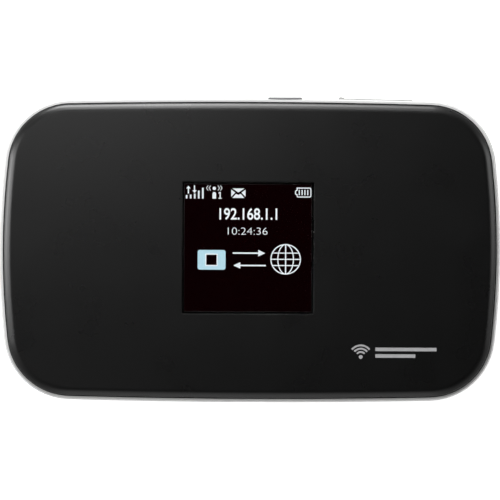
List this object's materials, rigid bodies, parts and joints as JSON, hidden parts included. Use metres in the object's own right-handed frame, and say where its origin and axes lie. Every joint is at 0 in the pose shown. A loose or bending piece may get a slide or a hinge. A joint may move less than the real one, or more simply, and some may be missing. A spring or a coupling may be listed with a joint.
{
  "type": "mobile hotspot",
  "caption": "Pocket mobile hotspot: black front with a small square display in a white case, power key and card door on one edge, USB port opposite, lift-off back over the battery.",
  "frame": {"origin": "middle of the flat outer face of the battery cover", "axes": "+X right along the long side, +Y towards the edge with the power key, +Z out through the display"},
  "size_m": [0.1068, 0.0651, 0.0145],
  "materials": {
    "front_black": "satin black",
    "case_white": "satin white",
    "key_grey": "satin grey",
    "door_grey": "light grey elastomer",
    "window_clear": "clear lens, smoked",
    "panel_black": "dark glass of the display panel",
    "foam_black": "foam and adhesive tape",
    "board_green": "solder mask on laminate",
    "shield_metal": "tinned sheet steel",
    "chip_black": "moulded chip package",
    "plastic_black": "moulded black plastic",
    "contact_gold": "gold-plated contact",
    "antenna_copper": "plated copper foil",
    "screw_steel": "dark zinc",
    "flex_amber": "polyimide film",
    "battery_wrap": "aluminium can in dark grey wrap",
    "label_white": "printed film, left blank",
    "sim_white": "card plastic"
  },
  "bodies": {
    "case": {"front_cover": "front_black", "display_window": "window_clear", "window_adhesive": "foam_black", "display_panel": "panel_black", "display_gasket": "foam_black", "display_bracket": "plastic_black", "display_flex": "flex_amber", "display_socket": "plastic_black", "housing": "case_white", "main_board": "board_green", "modem_shield": "shield_metal", "power_shield": "shield_metal", "wifi_shield": "shield_metal", "modem_chip": "chip_black", "memory_chip": "chip_black", "power_chip": "chip_black", "wifi_chip": "chip_black", "card_socket_shell": "shield_metal", "card_socket_base": "plastic_black", "usb_shell": "shield_metal", "usb_tongue": "plastic_black", "antenna_carrier_left": "plastic_black", "antenna_carrier_right": "plastic_black", "main_antenna": "antenna_copper", "diversity_antenna": "antenna_copper", "battery_connector": "plastic_black", "battery_spring_1": "contact_gold", "battery_spring_2": "contact_gold", "battery_spring_3": "contact_gold", "power_switch": "shield_metal", "reset_switch": "shield_metal", "sim_hood": "shield_metal", "sim_base": "plastic_black", "rating_label": "label_white", "door_tether": "door_grey", "screw_1": "screw_steel", "screw_2": "screw_steel", "screw_3": "screw_steel", "screw_4": "screw_steel", "screw_5": "screw_steel", "screw_6": "screw_steel"},
    "power_key": {"power_key": "key_grey", "power_switch_plunger": "plastic_black"},
    "card_door": {"card_door": "door_grey"},
    "battery_cover": {"battery_cover": "case_white"},
    "battery": {"battery_cell": "battery_wrap", "battery_end_block": "plastic_black", "battery_contact_1": "contact_gold", "battery_contact_2": "contact_gold", "battery_contact_3": "contact_gold"},
    "sim_card": {"sim_card": "sim_white"},
    "reset_button": {"reset_button": "plastic_black"}
  },
  "joints": [
    {"name": "power_key_press", "type": "slide", "parent": "case", "child": "power_key", "axis": [0, -1, 0], "range_m": [0, 0.00035], "stiffness_N_per_m": 2000},
    {"name": "card_door_swing", "type": "hinge", "parent": "case", "child": "card_door", "pos_m": [0.0345, 0.03213, 0.0094], "axis": [0, 0, -1], "range_deg": [0, 110]},
    {"name": "case_lift", "type": "slide", "parent": "battery_cover", "child": "case", "axis": [0, 0, 1], "range_m": [0, 0.03]},
    {"name": "battery_lift", "type": "slide", "parent": "case", "child": "battery", "axis": [0, 0, -1], "range_m": [0, 0.015]},
    {"name": "sim_card_slide", "type": "slide", "parent": "case", "child": "sim_card", "axis": [0, -1, 0], "range_m": [0, 0.0135]},
    {"name": "reset_press", "type": "slide", "parent": "case", "child": "reset_button", "axis": [0, 0, 1], "range_m": [0, 0.0002], "stiffness_N_per_m": 2000}
  ],
  "couplings": [
    {"joint": "battery_lift", "follows": "case_lift", "ratio": 0.5}
  ]
}
